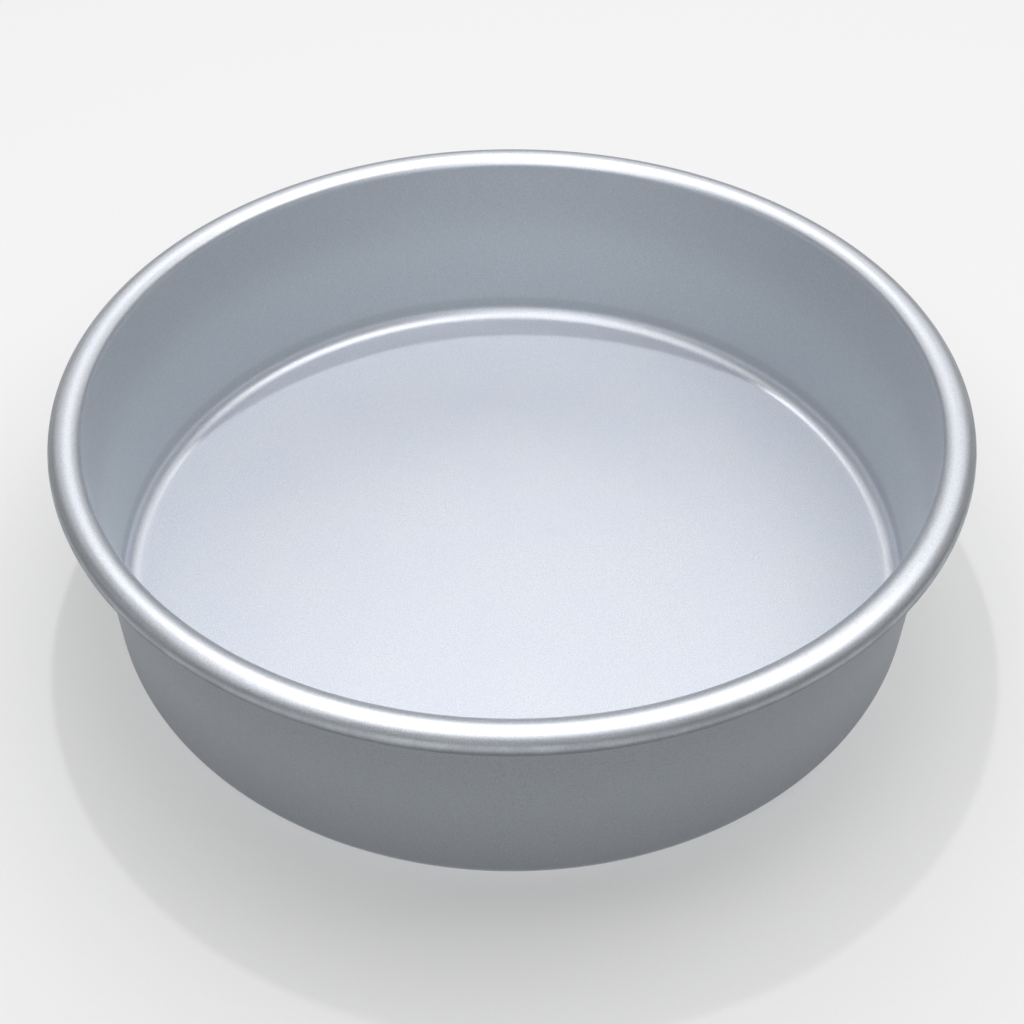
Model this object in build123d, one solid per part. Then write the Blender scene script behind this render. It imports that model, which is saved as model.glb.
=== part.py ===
from build123d import *
from math import acos, atan2, degrees
import os

# Round cake tin with straight sides and an outward-rolled rim, in millimetres, +Z up.
# The origin is the centre of the underside, so the tin stands on z = 0.

# Pan: one disc of aluminium sheet, drawn up into a floor and a wall
inner_diameter = 203.0   # clear width between the walls
overall_height = 57.0    # underside to the top of the rolled rim
sheet = 1.2              # thickness of the sheet
fillet_radius = 4.0      # inside, where the floor turns up into the wall

# Rim wire: one length of round steel wire, bent to a ring
wire_diameter = 2.7
wire_end_gap = 1.0       # between its two cut ends

# Rolled rim: the edge of the same sheet, curled over the wire, outward and under
wire_clearance = 0.3     # free space above and below the wire
rim_spread = 2.0         # the roll is pressed down, so it is this much wider than it is high
narrow_end_share = 0.8   # radius at the narrow ends of the roll, of half its height
tuck_gap = 0.15          # the cut edge of the sheet stops this far from the wall

inner_radius = inner_diameter / 2
half_height = wire_diameter / 2 + wire_clearance + sheet
half_width = half_height + rim_spread / 2
roll_middle = inner_radius + half_width
roll_level = overall_height - half_height

# The roll is a four-centre oval in section: two narrow ends, and a flatter top and underside
# that run into them in tangent. The cut edge ends the underside just short of the wall.
end_radius = half_height * narrow_end_share
end_offset = half_width - end_radius
flat_radius = (end_offset**2 + half_height**2 - end_radius**2) / (2 * (half_height - end_radius))
flat_offset = flat_radius - half_height
joint_angle = degrees(atan2(flat_offset, end_offset))
tuck_angle = degrees(acos((half_width - sheet - tuck_gap) / flat_radius))


def sheet_line(depth):
    """The section of the pan's inside face, or of the layer of the sheet at a depth under it."""
    toe = inner_radius - fillet_radius
    wall_foot = sheet + fillet_radius
    near_wall = (roll_middle - end_offset, roll_level)
    nose = (roll_middle + end_offset, roll_level)
    below_top = (roll_middle, roll_level - flat_offset)
    above_underside = (roll_middle, roll_level + flat_offset)
    with BuildLine(Plane.XZ) as layer:
        Line((0, sheet - depth), (toe, sheet - depth))
        CenterArc((toe, wall_foot), fillet_radius + depth, -90, 90)
        Line((inner_radius + depth, wall_foot), (inner_radius + depth, roll_level))
        CenterArc(near_wall, end_radius - depth, 180, -joint_angle)
        CenterArc(below_top, flat_radius - depth, 180 - joint_angle, 2 * joint_angle - 180)
        CenterArc(nose, end_radius - depth, joint_angle, -2 * joint_angle)
        CenterArc(above_underside, flat_radius - depth, -joint_angle, joint_angle + tuck_angle - 180)
    return layer.wire()


def pan_shell():
    """The sheet, drawn between its two faces in section and turned round the axis."""
    inside = sheet_line(0)
    outside = sheet_line(sheet)
    centre_edge = Line(outside @ 0, inside @ 0)
    cut_edge = Line(inside @ 1, outside @ 1)
    section = make_face([inside, cut_edge, outside, centre_edge])
    return revolve(section, Axis.Z)


def rim_wire():
    """The wire ring, turned from its round section and left open where its ends meet."""
    with BuildPart() as wire:
        with BuildSketch(Plane.XZ):
            with Locations((roll_middle, roll_level)):
                Circle(wire_diameter / 2)
        revolve(axis=Axis.Z, revolution_arc=360 - degrees(wire_end_gap / roll_middle))
    return wire.part


os.makedirs("parts", exist_ok=True)
export_step(pan_shell(), "parts/pan_shell.step")
export_step(rim_wire(), "parts/rim_wire.step")
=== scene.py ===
import bpy
from math import acos, atan2, cos, degrees, pi, radians, sin
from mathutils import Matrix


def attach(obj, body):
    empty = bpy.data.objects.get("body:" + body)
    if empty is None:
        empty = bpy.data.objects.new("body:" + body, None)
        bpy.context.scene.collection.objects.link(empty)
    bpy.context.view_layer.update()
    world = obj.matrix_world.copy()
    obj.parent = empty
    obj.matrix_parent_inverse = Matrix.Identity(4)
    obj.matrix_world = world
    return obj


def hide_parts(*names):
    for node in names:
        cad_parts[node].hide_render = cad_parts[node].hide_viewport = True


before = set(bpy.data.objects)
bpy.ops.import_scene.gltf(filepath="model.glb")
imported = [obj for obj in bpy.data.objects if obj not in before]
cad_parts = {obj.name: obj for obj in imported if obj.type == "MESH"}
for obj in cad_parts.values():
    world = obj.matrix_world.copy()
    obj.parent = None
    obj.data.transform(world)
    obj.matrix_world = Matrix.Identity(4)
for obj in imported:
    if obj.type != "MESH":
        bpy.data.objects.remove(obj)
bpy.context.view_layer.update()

# Pan. The real piece is one disc of aluminium sheet, drawn into a flat floor and a straight
# wall, with its edge curled outward and under into a rolled rim. The whole pan is etched to
# a fine satin and anodised, which leaves it matt and cool in tone.
inner_radius = 0.1015
overall_height = 0.057
sheet = 0.0012
fillet_radius = 0.004
roll_half_width = 0.00385
roll_half_height = 0.00285
narrow_end_share = 0.8  # radius of the roll's narrow ends, in its half height
tuck_gap = 0.00015  # between the cut edge of the sheet and the wall
steps_round = 360
weld_distance = 0.000001
sharp_over = radians(30)
toe_radius = inner_radius - fillet_radius
wall_foot = sheet + fillet_radius
roll_middle = inner_radius + roll_half_width
roll_level = overall_height - roll_half_height

# The roll is a four-centre oval: two narrow ends, with a flatter top and underside.
end_radius = roll_half_height * narrow_end_share
end_offset = roll_half_width - end_radius
end_drop = roll_half_height - end_radius
flat_radius = (end_offset**2 + roll_half_height**2 - end_radius**2) / (2 * end_drop)
flat_offset = flat_radius - roll_half_height
joint = degrees(atan2(flat_offset, end_offset))
tuck = degrees(acos((roll_half_width - sheet - tuck_gap) / flat_radius))


def arc(centre, radius, start, end, steps):
    """Points (radius, height) along an arc of the section, angles in degrees."""
    turns = [radians(start + (end - start) * k / steps) for k in range(steps + 1)]
    return [(centre[0] + radius * cos(turn), centre[1] + radius * sin(turn)) for turn in turns]


def run(start, end, shares):
    """Points between two places, at the given shares of the way."""
    return [tuple(a + (b - a) * share for a, b in zip(start, end)) for share in shares]


def rolled(depth):
    """Points round the roll, at a depth under its outer face, from the wall to the cut edge."""
    near_wall = (roll_middle - end_offset, roll_level)
    below_top = (roll_middle, roll_level - flat_offset)
    at_nose = (roll_middle + end_offset, roll_level)
    above_underside = (roll_middle, roll_level + flat_offset)
    points = arc(near_wall, end_radius - depth, 180, 180 - joint, 14)
    points += arc(below_top, flat_radius - depth, 180 - joint, joint, 16)[1:]
    points += arc(at_nose, end_radius - depth, joint, -joint, 28)[1:]
    points += arc(above_underside, flat_radius - depth, -joint, tuck - 180, 16)[1:]
    return points


floor_shares = (0, 0.04, 0.1, 0.2, 0.35, 0.5, 0.65, 0.8, 0.9, 0.96, 0.99)
wall_shares = (0.01, 0.04, 0.15, 0.35, 0.6, 0.85, 0.96, 0.99)
fillet_centre = (toe_radius, wall_foot)
outer_radius = inner_radius + sheet
section = run((0, sheet), (toe_radius, sheet), floor_shares)
section += arc(fillet_centre, fillet_radius, -90, 0, 16)
section += run((inner_radius, wall_foot), (inner_radius, roll_level), wall_shares)
section += rolled(0)
section += reversed(rolled(sheet))
section += run((outer_radius, roll_level), (outer_radius, wall_foot), wall_shares)
section += arc(fillet_centre, fillet_radius + sheet, 0, -90, 16)
section += run((toe_radius, 0), (0, 0), [1 - share for share in reversed(floor_shares)])

# The section is drawn from the inside of the wall, and its height runs down its own Y.
outline = bpy.data.curves.new("pan_section", "CURVE")
outline.dimensions = "3D"
line = outline.splines.new("POLY")
line.points.add(len(section) - 1)
for point, (radius, height) in zip(line.points, section):
    point.co = (radius - inner_radius, -height, 0, 1)
drawn_section = bpy.data.objects.new("pan_section", outline)
bpy.context.scene.collection.objects.link(drawn_section)

# The tree sweeps the section round a circle, welds the points that meet on the axis, and
# shades the sheet smooth except along the two corners of its cut edge.
turning = bpy.data.node_groups.new("turned_sheet", "GeometryNodeTree")
turning.is_modifier = True
sockets = {}
for name, kind in (
    ("Section", "Geometry"),
    ("Inner radius", "Float"),
    ("Steps round", "Int"),
    ("Weld distance", "Float"),
    ("Sharp over", "Float"),
    ("Finish", "Material"),
):
    kind = "NodeSocket" + kind
    sockets[name] = turning.interface.new_socket(name, in_out="INPUT", socket_type=kind)
turning.interface.new_socket("Pan", in_out="OUTPUT", socket_type="NodeSocketGeometry")
given = turning.nodes.new("NodeGroupInput").outputs
rail = turning.nodes.new("GeometryNodeCurvePrimitiveCircle")
sweep = turning.nodes.new("GeometryNodeCurveToMesh")
weld = turning.nodes.new("GeometryNodeMergeByDistance")
smooth = turning.nodes.new("GeometryNodeSetShadeSmooth")
bend = turning.nodes.new("GeometryNodeInputMeshEdgeAngle")
is_sharp = turning.nodes.new("FunctionNodeCompare")
sharpen = turning.nodes.new("GeometryNodeSetShadeSmooth")
sharpen.domain = "EDGE"
sharpen.inputs["Shade Smooth"].default_value = False
realize = turning.nodes.new("GeometryNodeRealizeInstances")
coat = turning.nodes.new("GeometryNodeSetMaterial")
result = turning.nodes.new("NodeGroupOutput")
for output, socket in (
    (given["Inner radius"], rail.inputs["Radius"]),
    (given["Steps round"], rail.inputs["Resolution"]),
    (rail.outputs["Curve"], sweep.inputs["Curve"]),
    (given["Section"], sweep.inputs["Profile Curve"]),
    (sweep.outputs["Mesh"], weld.inputs["Geometry"]),
    (given["Weld distance"], weld.inputs["Distance"]),
    (weld.outputs["Geometry"], smooth.inputs["Geometry"]),
    (smooth.outputs["Geometry"], sharpen.inputs["Geometry"]),
    (bend.outputs["Unsigned Angle"], is_sharp.inputs["A"]),
    (given["Sharp over"], is_sharp.inputs["B"]),
    (is_sharp.outputs["Result"], sharpen.inputs["Selection"]),
    (sharpen.outputs["Geometry"], realize.inputs["Geometry"]),
    (realize.outputs["Geometry"], coat.inputs["Geometry"]),
    (given["Finish"], coat.inputs["Material"]),
    (coat.outputs["Geometry"], result.inputs["Pan"]),
):
    turning.links.new(output, socket)


def add(tree, kind, name, settings=(), **values):
    """A node under a plain name, with its settings and the values of its inputs."""
    made = tree.nodes.new(kind)
    made.name = made.label = name
    for setting, choice in dict(settings).items():
        setattr(made, setting, choice)
    for socket, value in values.items():
        made.inputs[socket.replace("_", " ")].default_value = value
    return made


def figure(tree, operation, name, *values):
    """A sum on numbers or outputs."""
    made = add(tree, "ShaderNodeMath", name, {"operation": operation})
    for place, value in enumerate(values):
        if isinstance(value, bpy.types.NodeSocket):
            tree.links.new(value, made.inputs[place])
        else:
            made.inputs[place].default_value = value
    return made.outputs["Value"]


def gathered(tree, base, parts):
    """A base, with each part added to it in its own share."""
    for name, part, share in parts:
        base = figure(tree, "MULTIPLY_ADD", name, part, share, base)
    return base


def step(tree, name, value, start, end, low=0.0, high=1.0):
    """A smooth change from low to high as a value goes from start to end."""
    made = add(tree, "ShaderNodeMapRange", name, {"interpolation_type": "SMOOTHSTEP"})
    made.inputs["From Min"].default_value = start
    made.inputs["From Max"].default_value = end
    made.inputs["To Min"].default_value = low
    made.inputs["To Max"].default_value = high
    tree.links.new(value, made.inputs["Value"])
    return made.outputs["Result"]


def noise(tree, name, place, scale, detail, roughness=0.5):
    """Random grain at a number of cells to the metre, read at a place."""
    made = add(tree, "ShaderNodeTexNoise", name, Scale=scale, Detail=detail, Roughness=roughness)
    tree.links.new(place, made.inputs["Vector"])
    return made.outputs["Fac"]


def blended(tree, name, factor, first, second):
    """A colour between two, each given as a red, green and blue or as an output."""
    made = add(tree, "ShaderNodeMix", name, {"data_type": "RGBA"})
    tree.links.new(factor, made.inputs["Factor"])
    for socket, colour in (("A", first), ("B", second)):
        if isinstance(colour, bpy.types.NodeSocket):
            tree.links.new(colour, made.inputs[socket])
        else:
            made.inputs[socket].default_value = (*colour, 1)
    return made.outputs["Result"]


def dimmed(tree, colour, light):
    """A colour made lighter or darker by an output."""
    made = add(tree, "ShaderNodeVectorMath", "colour", {"operation": "SCALE"})
    tree.links.new(colour, made.inputs["Vector"])
    tree.links.new(light, made.inputs["Scale"])
    return made.outputs["Vector"]


def relief(tree, shader, name, height, strength, depth):
    """Fine relief of a depth in metres on a material's surface."""
    made = add(tree, "ShaderNodeBump", name, Strength=strength, Distance=depth)
    tree.links.new(height, made.inputs["Height"])
    tree.links.new(made.outputs["Normal"], shader.inputs["Normal"])


def polar(tree):
    """A round piece's own coordinates, and its spot: radius, height and bearing east and north."""
    own = add(tree, "ShaderNodeTexCoord", "own coordinates").outputs["Object"]
    split = add(tree, "ShaderNodeSeparateXYZ", "split")
    tree.links.new(own, split.inputs["Vector"])
    x, y, height = split.outputs
    across = figure(tree, "MULTIPLY", "x squared", x, x)
    along = figure(tree, "MULTIPLY", "y squared", y, y)
    radius = figure(tree, "SQRT", "radius", figure(tree, "ADD", "radius squared", across, along))
    least = figure(tree, "MAXIMUM", "radius over nothing", radius, 0.0005)
    east = figure(tree, "DIVIDE", "bearing east", x, least)
    north = figure(tree, "DIVIDE", "bearing north", y, least)
    return own, (radius, height, east, north)


def turned_lines(tree, name, spot, length, width, detail):
    """Fine lines that run round a turned piece: long along the turn and narrow across it."""
    radius, height, east, north = spot
    reach = 0.1 / length
    girth = figure(tree, "ADD", name + " girth", radius, height)
    place = add(tree, "ShaderNodeCombineXYZ", name + " place")
    for axis, output, scale in (("X", east, reach), ("Y", north, reach), ("Z", girth, 1 / width)):
        scaled = figure(tree, "MULTIPLY", name + " along " + axis, output, scale)
        tree.links.new(scaled, place.inputs[axis])
    return noise(tree, name, place.outputs["Vector"], 1, detail)


satin = bpy.data.materials.new("satin_anodised_aluminium")
satin.use_nodes = True
tree = satin.node_tree
shader = tree.nodes["Principled BSDF"]
shader.inputs["Metallic"].default_value = 1
own, spot = polar(tree)
radius, height = spot[:2]
grain = noise(tree, "etched grain", own, 3200, 2, 0.6)
cloud = noise(tree, "uneven anodising", own, 38, 3)
lines = turned_lines(tree, "forming lines", spot, length=0.03, width=0.00045, detail=3)

# The lines show on the rolled rim, are faint up the wall and all but gone on the floor. Grain
# and lines swing about the middle of their noise.
middle = 0.5
on_wall = step(tree, "lines up the wall", radius, toe_radius, inner_radius, 0.15, 0.4)
on_rim = step(tree, "on the rim", height, roll_level - roll_half_height, roll_level, 0.0, 0.6)
line_share = figure(tree, "ADD", "line share", on_wall, on_rim)
line_swing = figure(tree, "SUBTRACT", "line swing", lines, middle)
fine = figure(tree, "MULTIPLY", "line depth", line_swing, line_share)
speckle = figure(tree, "SUBTRACT", "grain swing", grain, middle)

# Handling rubs the nose of the rim, and the shelf rubs the corner that the tin stands on.
rim_edge = roll_middle + roll_half_width
nose = step(tree, "nose of the rim", radius, rim_edge - 0.4 * roll_half_width, rim_edge)
foot = step(tree, "foot corner", height, sheet, sheet / 6)
outside = step(tree, "outside of the corner", radius, toe_radius, inner_radius)
rubbed_foot = figure(tree, "MULTIPLY", "rubbed foot", foot, outside)
edges = figure(tree, "MAXIMUM", "edges", nose, rubbed_foot)
patches = step(tree, "rubbed patches", noise(tree, "rubbing", own, 160, 4, 0.6), 0.42, 0.62)
wear = figure(tree, "MULTIPLY", "wear", edges, patches)

# Drawing dulls the wall against the floor, and most of all its outer face, which slid over the
# die;
# in the colour the same zones carry painted shade, darker inside and out. The punch burnishes the
# bend round the floor, and the rolling tools the top of the rim.
# Each zone fades in between two radii or two heights, of which the first has none of it.
fade = 0.4 * roll_half_height
end_middle = roll_middle + end_offset
mid_sheet = inner_radius + sheet / 2
off_floor = step(tree, "off the floor", radius, toe_radius - 0.001, toe_radius + 0.001)
up_wall = step(tree, "up the wall", height, wall_foot - 0.0018, wall_foot - 0.0004)
below_roll = step(tree, "below the roll", height, roll_level + 0.0014, roll_level - 0.0004)
outer_face = step(tree, "outer face", radius, mid_sheet - 0.1 * sheet, mid_sheet + 0.1 * sheet)
below_nose = step(tree, "below the nose", height, roll_level + fade, roll_level - fade)
out_of_top = step(
    tree, "out of the top", radius, end_middle + 0.4 * end_radius, end_middle + 0.8 * end_radius
)
drawn_and_shaded_inside = figure(tree, "MULTIPLY", "drawn and shaded inside", up_wall, below_roll)
drawn_and_shaded_outside = figure(tree, "MULTIPLY", "drawn and shaded outside", outer_face, below_nose)
drawn = figure(tree, "MAXIMUM", "drawn", drawn_and_shaded_inside, drawn_and_shaded_outside)
# Painted light: the inside wall is made lighter towards its foot.
down_wall = step(tree, "down the wall", height, 0.05, 0.02)
low_wall_painted_light = figure(tree, "MULTIPLY", "low wall painted light", down_wall, drawn_and_shaded_inside)
# Painted shade: a dark line on the inside face just above the bend, where the wall's reflection
# darkens.
line_top = step(tree, "line top", height, 0.0092, 0.0066)
line_foot = step(tree, "line foot", height, 0.0042, 0.0054)
inside_face = step(tree, "inside face", radius, inner_radius + 0.0006, inner_radius + 0.0002)
painted_shade_band = figure(tree, "MULTIPLY", "painted shade band", line_top, line_foot)
painted_shade_line = figure(tree, "MULTIPLY", "painted shade line", painted_shade_band, inside_face)

light_parts = (
    ("grain light", speckle, 0.6),
    ("line light", fine, 0.10),
    ("wear light", wear, 0.06),
)
light = gathered(tree, 1, light_parts)
for name, zone, share in (
    # painted shade: the inside of the wall darkened
    ("inside", drawn_and_shaded_inside, 0.72),
    ("low wall painted light", low_wall_painted_light, 1.10),
    ("painted shade line", painted_shade_line, 0.91),
    # painted shade: the outer side of the rim below its top darkened
    ("nose", out_of_top, 0.69),
    # painted shade: the outer face of the wall darkened
    ("outside", drawn_and_shaded_outside, 0.77),
):
    zone_light = step(tree, name + " tone", zone, 0, 1, 1, share)
    light = figure(tree, "MULTIPLY", name + " light", light, zone_light)
cloud_edge = step(tree, "cloud edge", cloud, 0.3, 0.7)
tone = blended(tree, "anodised tone", cloud_edge, (0.736, 0.764, 0.822), (0.748, 0.770, 0.818))
cool = figure(tree, "MAXIMUM", "cool", drawn, out_of_top)
tone = blended(tree, "wall tone", cool, tone, (0.755, 0.800, 0.845))
tree.links.new(dimmed(tree, tone, light), shader.inputs["Base Color"])

half_dull = figure(tree, "MULTIPLY", "half dull", out_of_top, 0.5)
dull = figure(tree, "MAXIMUM", "dull", drawn, half_dull)
etched = step(tree, "etched floor", off_floor, 0, 1, 0.70, 0.46)
rough_parts = (
    ("drawn roughness", dull, 0.26),
    ("grain roughness", speckle, 0.10),
    ("line roughness", fine, 0.12),
    ("worn smooth", wear, -0.10),
)
tree.links.new(gathered(tree, etched, rough_parts), shader.inputs["Roughness"])
grain_and_lines = gathered(tree, fine, [("grain relief", speckle, 0.5)])
relief(tree, shader, "relief bump", grain_and_lines, strength=0.25, depth=0.00002)

forming = drawn_section.modifiers.new("turned_sheet", "NODES")
forming.node_group = turning
for name, value in (
    ("Inner radius", inner_radius),
    ("Steps round", steps_round),
    ("Weld distance", weld_distance),
    ("Sharp over", sharp_over),
    ("Finish", satin),
):
    forming[sockets[name].identifier] = value
turned = drawn_section.evaluated_get(bpy.context.evaluated_depsgraph_get())
pan = bpy.data.objects.new("pan", bpy.data.meshes.new_from_object(turned))
bpy.context.scene.collection.objects.link(pan)
bpy.data.objects.remove(drawn_section)
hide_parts("pan_shell")
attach(pan, "root")

# Rim wire. A length of round steel wire, bent to a ring and curled into the rim so that the
# edge stays round. The roll hides all of it. It is dull drawn wire with a thin zinc coat.
zinc = bpy.data.materials.new("zinc_coated_wire")
zinc.use_nodes = True
tree = zinc.node_tree
shader = tree.nodes["Principled BSDF"]
shader.inputs["Metallic"].default_value = 1
own, spot = polar(tree)
lines = turned_lines(tree, "drawing lines", spot, length=0.02, width=0.0003, detail=3)
bloom = step(tree, "dull bloom", noise(tree, "bloom", own, 220, 4, 0.6), 0.4, 0.7)
tone = blended(tree, "zinc tone", bloom, (0.47, 0.48, 0.50), (0.58, 0.59, 0.60))
light = step(tree, "line light", lines, 0.3, 0.7, 0.9, 1.08)
tree.links.new(dimmed(tree, tone, light), shader.inputs["Base Color"])
rough = step(tree, "line roughness", lines, 0.3, 0.7, 0.5, 0.38)
tree.links.new(rough, shader.inputs["Roughness"])
relief(tree, shader, "line bump", lines, strength=0.4, depth=0.00002)
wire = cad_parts["rim_wire"]
wire.data.materials.clear()
wire.data.materials.append(zinc)

# Ground. A wide sheet of pale paper that the tin stands on; it is no part of the tin.
paper = bpy.data.materials.new("pale_paper")
paper.use_nodes = True
tree = paper.node_tree
shader = tree.nodes["Principled BSDF"]
shader.inputs["Roughness"].default_value = 0.9
shader.inputs["Specular IOR Level"].default_value = 0.2
own, spot = polar(tree)
fibre = noise(tree, "paper fibre", own, 900, 4, 0.6)
tone = blended(tree, "paper tone", fibre, (0.91, 0.91, 0.91), (0.94, 0.94, 0.94))
tree.links.new(tone, shader.inputs["Base Color"])
relief(tree, shader, "fibre bump", fibre, strength=0.05, depth=0.0001)

# Away from the tin the eye sees the sheet whiter, as on a lit white table, and so does the metal
# to a lesser share. Near the tin the white glow fades, which paints a soft shade round the tin and
# into the metal's reflection of it.
rays = add(tree, "ShaderNodeLightPath", "rays").outputs
glossy, through = rays["Is Glossy Ray"], rays["Is Transmission Ray"]
mirrored = figure(tree, "MAXIMUM", "mirrored or seen through", glossy, through)
mirrored = figure(tree, "MULTIPLY", "share in the metal", mirrored, 0.6)
seen = figure(tree, "MAXIMUM", "seen or mirrored", rays["Is Camera Ray"], mirrored)
# Painted shade: the white glow fades towards the tin.
away = step(tree, "glow away from the tin, painted shade near it", spot[0], 0.104, 0.2, 0.36, 0.9)
glow = add(tree, "ShaderNodeEmission", "white table", Strength=1)
tree.links.new(tone, glow.inputs["Color"])
blend = add(tree, "ShaderNodeMixShader", "lit and white")
tree.links.new(figure(tree, "MULTIPLY", "white share", seen, away), blend.inputs["Fac"])
tree.links.new(shader.outputs["BSDF"], blend.inputs[1])
tree.links.new(glow.outputs["Emission"], blend.inputs[2])
tree.links.new(blend.outputs["Shader"], tree.nodes["Material Output"].inputs["Surface"])
paper.cycles.emission_sampling = "NONE"
bpy.ops.mesh.primitive_circle_add(vertices=96, radius=3, fill_type="NGON")
ground = bpy.context.object
ground.name = "ground"
ground.data.materials.append(paper)


# Lamps. Three soft boxes hang close over the tin, one of them just over the front of its rim,
# and two wide ones stand before and behind it. One small lamp behind it casts the shadow of
# the rim that lies along the back of the floor. The room is dim and even.
def soft_box(name, place, turn, dip, width, depth, glow):
    """A soft box of a brightness, turned from facing straight back, that looks down by a dip."""
    lamp = bpy.data.lights.new(name, "AREA")
    lamp.shape = "RECTANGLE"
    lamp.size = width
    lamp.size_y = depth
    lamp.energy = glow * pi * width * depth
    box = bpy.data.objects.new(name, lamp)
    box.location = place
    box.rotation_euler = (radians(90 - dip), 0, radians(turn))
    box.visible_camera = False
    bpy.context.scene.collection.objects.link(box)


near, over, brow = (-0.073, -0.01, 0.3), (0.22, 0.022, 0.42), (-0.043, -0.094, 0.2)
front, back = (-0.2, -1.42, 0.44), (-0.18, 1.148, 0.965)
soft_box("near_box", near, turn=0, dip=88, width=0.2, depth=0.24, glow=1.42)
soft_box("over_box", over, turn=180, dip=87, width=0.3, depth=0.24, glow=2.9)
soft_box("brow_box", brow, turn=0, dip=12, width=0.19, depth=0.16, glow=1.5)
soft_box("front_box", front, turn=-8, dip=17, width=1.2, depth=0.5, glow=2.0)
soft_box("back_box", back, turn=180, dip=40, width=2.84, depth=0.5, glow=1.05)
bulb = bpy.data.lights.new("small_lamp", "POINT")
bulb.energy = 4.1
bulb.shadow_soft_size = 0.012
lamp = bpy.data.objects.new("small_lamp", bulb)
lamp.location = (-0.036, 0.228, 0.68)
bpy.context.scene.collection.objects.link(lamp)

world = bpy.data.worlds.new("studio")
bpy.context.scene.world = world
world.use_nodes = True
tree = world.node_tree
sky = add(tree, "ShaderNodeTexCoord", "direction")
split = add(tree, "ShaderNodeSeparateXYZ", "split")
tree.links.new(sky.outputs["Generated"], split.inputs["Vector"])
dim = step(tree, "dimmer above the horizon", split.outputs["Z"], 0.0, 0.6, 0.14, 0.13)
tree.links.new(dim, tree.nodes["Background"].inputs["Color"])
bpy.context.scene.view_settings.view_transform = "Standard"

# Camera. It stands in front of the tin and looks down over the rim, as the photographer did.
camera_dip = 43.91
optics = bpy.data.cameras.new("camera")
optics.sensor_width = 36
optics.lens = 50.24
optics.clip_start = 0.01
camera = bpy.data.objects.new("camera", optics)
camera.location = (0, -0.2698, 0.2714)
camera.rotation_euler = (radians(90 - camera_dip), 0, 0)
bpy.context.scene.collection.objects.link(camera)
bpy.context.scene.camera = camera
